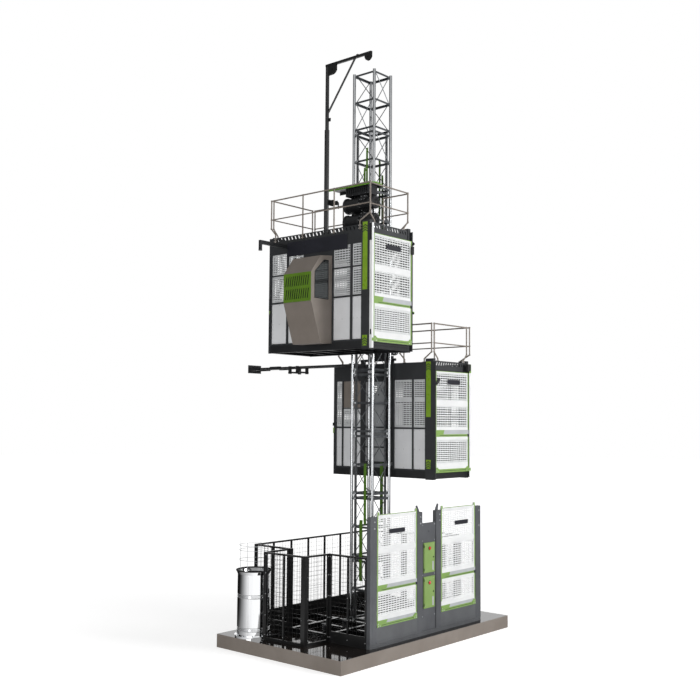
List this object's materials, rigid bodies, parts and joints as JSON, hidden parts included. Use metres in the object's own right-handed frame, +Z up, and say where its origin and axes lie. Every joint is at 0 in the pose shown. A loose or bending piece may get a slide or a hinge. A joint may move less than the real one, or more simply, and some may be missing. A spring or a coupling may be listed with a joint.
{
  "type": "material hoist",
  "caption": "Rack and pinion material hoist: lattice mast on a slab, two caged cars with roof drives, fenced base with sliding landing gates.",
  "frame": {"origin": "underside of the foundation slab on the axis of the mast", "axes": "+Z up along the mast, +X towards the second cage, -Y towards the loading side with the landing gates"},
  "size_m": [6.4048, 6.162, 13.9315],
  "materials": {
    "slab": "polished dark top, plain sides",
    "black_steel": "satin black paint",
    "dark_grey": "satin anthracite paint",
    "galvanised": "galvanised steel tube and angle",
    "rack_steel": "milled steel",
    "gear_steel": "hardened steel",
    "zinc": "zinc plated wire",
    "sheet_steel": "bright sheet steel",
    "green": "lime green paint",
    "white_steel": "white paint",
    "light_panel": "light grey sheet",
    "taupe": "taupe paint",
    "rail_brown": "grey-brown paint",
    "motor_black": "black paint over cast housings",
    "glazing": "dark tinted glass"
  },
  "bodies": {
    "base": {"foundation_slab": "slab", "base_frame": "black_steel", "buffer_springs": "zinc", "mast_sections": "galvanised", "rack_1": "rack_steel", "rack_2": "rack_steel", "limit_cams": "green", "wall_tie": "black_steel", "cable_drum": "sheet_steel", "cable_guides": "sheet_steel", "landing_posts": "dark_grey", "control_boxes": "green", "landing_sills": "dark_grey", "fence": "black_steel"},
    "cage_1": {"cage_1_floor": "dark_grey", "cage_1_roof": "dark_grey", "cage_1_outer_frame": "dark_grey", "cage_1_inner_frame": "dark_grey", "cage_1_panels": "light_panel", "cage_1_mesh": "zinc", "cage_1_cabin": "taupe", "cage_1_cabin_window": "glazing", "cage_1_cabin_grille": "green", "cage_1_guard_rail": "rail_brown", "cage_1_drive_frame": "black_steel", "cage_1_gear_motors": "motor_black", "cage_1_safety_gear": "motor_black", "jib_socket": "black_steel"},
    "landing_gate_1_leaf": {"landing_gate_1": "white_steel"},
    "cage_1_entry_door_leaf": {"cage_1_entry_door": "white_steel"},
    "cage_1_exit_door_upper_leaf": {"cage_1_exit_door_upper": "white_steel"},
    "cage_1_exit_door_lower_leaf": {"cage_1_exit_door_lower": "white_steel"},
    "cage_1_pinion_upper_turn": {"cage_1_pinion_upper": "gear_steel"},
    "cage_1_pinion_lower_turn": {"cage_1_pinion_lower": "gear_steel"},
    "cage_1_safety_pinion_turn": {"cage_1_safety_pinion": "gear_steel"},
    "cage_1_rollers_upper_turn": {"cage_1_rollers_upper": "gear_steel"},
    "cage_1_rollers_lower_turn": {"cage_1_rollers_lower": "gear_steel"},
    "cage_2": {"cage_2_floor": "dark_grey", "cage_2_roof": "dark_grey", "cage_2_outer_frame": "dark_grey", "cage_2_inner_frame": "dark_grey", "cage_2_panels": "light_panel", "cage_2_mesh": "zinc", "cage_2_cabin": "taupe", "cage_2_cabin_window": "glazing", "cage_2_cabin_grille": "green", "cage_2_guard_rail": "rail_brown", "cage_2_drive_frame": "black_steel", "cage_2_gear_motors": "motor_black", "cage_2_safety_gear": "motor_black"},
    "landing_gate_2_leaf": {"landing_gate_2": "white_steel"},
    "cage_2_entry_door_leaf": {"cage_2_entry_door": "white_steel"},
    "cage_2_exit_door_upper_leaf": {"cage_2_exit_door_upper": "white_steel"},
    "cage_2_exit_door_lower_leaf": {"cage_2_exit_door_lower": "white_steel"},
    "cage_2_pinion_upper_turn": {"cage_2_pinion_upper": "gear_steel"},
    "cage_2_pinion_lower_turn": {"cage_2_pinion_lower": "gear_steel"},
    "cage_2_safety_pinion_turn": {"cage_2_safety_pinion": "gear_steel"},
    "cage_2_rollers_upper_turn": {"cage_2_rollers_upper": "gear_steel"},
    "cage_2_rollers_lower_turn": {"cage_2_rollers_lower": "gear_steel"},
    "jib": {"jib_crane": "black_steel"}
  },
  "joints": [
    {"name": "cage_1_travel", "type": "slide", "parent": "base", "child": "cage_1", "axis": [0, 0, 1], "range_m": [-6.25, 1.4]},
    {"name": "cage_2_travel", "type": "slide", "parent": "base", "child": "cage_2", "axis": [0, 0, 1], "range_m": [-3.26, 4.4]},
    {"name": "landing_gate_1_lift", "type": "slide", "parent": "base", "child": "landing_gate_1_leaf", "axis": [0, 0, 1], "range_m": [0, 2]},
    {"name": "cage_1_entry_lift", "type": "slide", "parent": "cage_1", "child": "cage_1_entry_door_leaf", "axis": [0, 0, 1], "range_m": [0, 2]},
    {"name": "cage_1_exit_upper_lift", "type": "slide", "parent": "cage_1", "child": "cage_1_exit_door_upper_leaf", "axis": [0, 0, 1], "range_m": [0, 0.95]},
    {"name": "cage_1_exit_lower_drop", "type": "slide", "parent": "cage_1", "child": "cage_1_exit_door_lower_leaf", "axis": [0, 0, -1], "range_m": [0, 0.95]},
    {"name": "cage_1_pinion_upper_spin", "type": "hinge", "parent": "cage_1", "child": "cage_1_pinion_upper_turn", "pos_m": [-0.375, 0.073, 10.468], "axis": [-1, 0, 0], "continuous": true},
    {"name": "cage_1_pinion_lower_spin", "type": "hinge", "parent": "cage_1", "child": "cage_1_pinion_lower_turn", "pos_m": [-0.375, 0.073, 10.048], "axis": [-1, 0, 0], "continuous": true},
    {"name": "cage_1_safety_pinion_spin", "type": "hinge", "parent": "cage_1", "child": "cage_1_safety_pinion_turn", "pos_m": [-0.375, 0.073, 8.968], "axis": [-1, 0, 0], "continuous": true},
    {"name": "cage_1_rollers_upper_spin", "type": "hinge", "parent": "cage_1", "child": "cage_1_rollers_upper_turn", "pos_m": [-0.3933, 0, 9.778], "axis": [0, -1, 0], "continuous": true},
    {"name": "cage_1_rollers_lower_spin", "type": "hinge", "parent": "cage_1", "child": "cage_1_rollers_lower_turn", "pos_m": [-0.3933, 0, 7.148], "axis": [0, -1, 0], "continuous": true},
    {"name": "landing_gate_2_lift", "type": "slide", "parent": "base", "child": "landing_gate_2_leaf", "axis": [0, 0, 1], "range_m": [0, 2]},
    {"name": "cage_2_entry_lift", "type": "slide", "parent": "cage_2", "child": "cage_2_entry_door_leaf", "axis": [0, 0, 1], "range_m": [0, 2]},
    {"name": "cage_2_exit_upper_lift", "type": "slide", "parent": "cage_2", "child": "cage_2_exit_door_upper_leaf", "axis": [0, 0, 1], "range_m": [0, 0.95]},
    {"name": "cage_2_exit_lower_drop", "type": "slide", "parent": "cage_2", "child": "cage_2_exit_door_lower_leaf", "axis": [0, 0, -1], "range_m": [0, 0.95]},
    {"name": "cage_2_pinion_upper_spin", "type": "hinge", "parent": "cage_2", "child": "cage_2_pinion_upper_turn", "pos_m": [0.375, -0.073, 7.466], "axis": [1, 0, 0], "continuous": true},
    {"name": "cage_2_pinion_lower_spin", "type": "hinge", "parent": "cage_2", "child": "cage_2_pinion_lower_turn", "pos_m": [0.375, -0.073, 7.046], "axis": [1, 0, 0], "continuous": true},
    {"name": "cage_2_safety_pinion_spin", "type": "hinge", "parent": "cage_2", "child": "cage_2_safety_pinion_turn", "pos_m": [0.375, -0.073, 5.966], "axis": [1, 0, 0], "continuous": true},
    {"name": "cage_2_rollers_upper_spin", "type": "hinge", "parent": "cage_2", "child": "cage_2_rollers_upper_turn", "pos_m": [0.3933, 0, 6.776], "axis": [0, 1, 0], "continuous": true},
    {"name": "cage_2_rollers_lower_spin", "type": "hinge", "parent": "cage_2", "child": "cage_2_rollers_lower_turn", "pos_m": [0.3933, 0, 4.146], "axis": [0, 1, 0], "continuous": true},
    {"name": "jib_swing", "type": "hinge", "parent": "cage_1", "child": "jib", "pos_m": [-1.87, -0.16, 9.458], "axis": [0, 0, 1], "range_deg": [-90, 180]}
  ],
  "couplings": [
    {"joint": "cage_1_exit_lower_drop", "follows": "cage_1_exit_upper_lift", "ratio": 1},
    {"joint": "cage_1_pinion_upper_spin", "follows": "cage_1_travel", "rad_per_m": 16.666},
    {"joint": "cage_1_pinion_lower_spin", "follows": "cage_1_travel", "rad_per_m": 16.666},
    {"joint": "cage_1_safety_pinion_spin", "follows": "cage_1_travel", "rad_per_m": 16.666},
    {"joint": "cage_1_rollers_upper_spin", "follows": "cage_1_travel", "rad_per_m": -33.333},
    {"joint": "cage_1_rollers_lower_spin", "follows": "cage_1_travel", "rad_per_m": -33.333},
    {"joint": "cage_2_exit_lower_drop", "follows": "cage_2_exit_upper_lift", "ratio": 1},
    {"joint": "cage_2_pinion_upper_spin", "follows": "cage_2_travel", "rad_per_m": 16.666},
    {"joint": "cage_2_pinion_lower_spin", "follows": "cage_2_travel", "rad_per_m": 16.666},
    {"joint": "cage_2_safety_pinion_spin", "follows": "cage_2_travel", "rad_per_m": 16.666},
    {"joint": "cage_2_rollers_upper_spin", "follows": "cage_2_travel", "rad_per_m": -33.333},
    {"joint": "cage_2_rollers_lower_spin", "follows": "cage_2_travel", "rad_per_m": -33.333}
  ]
}
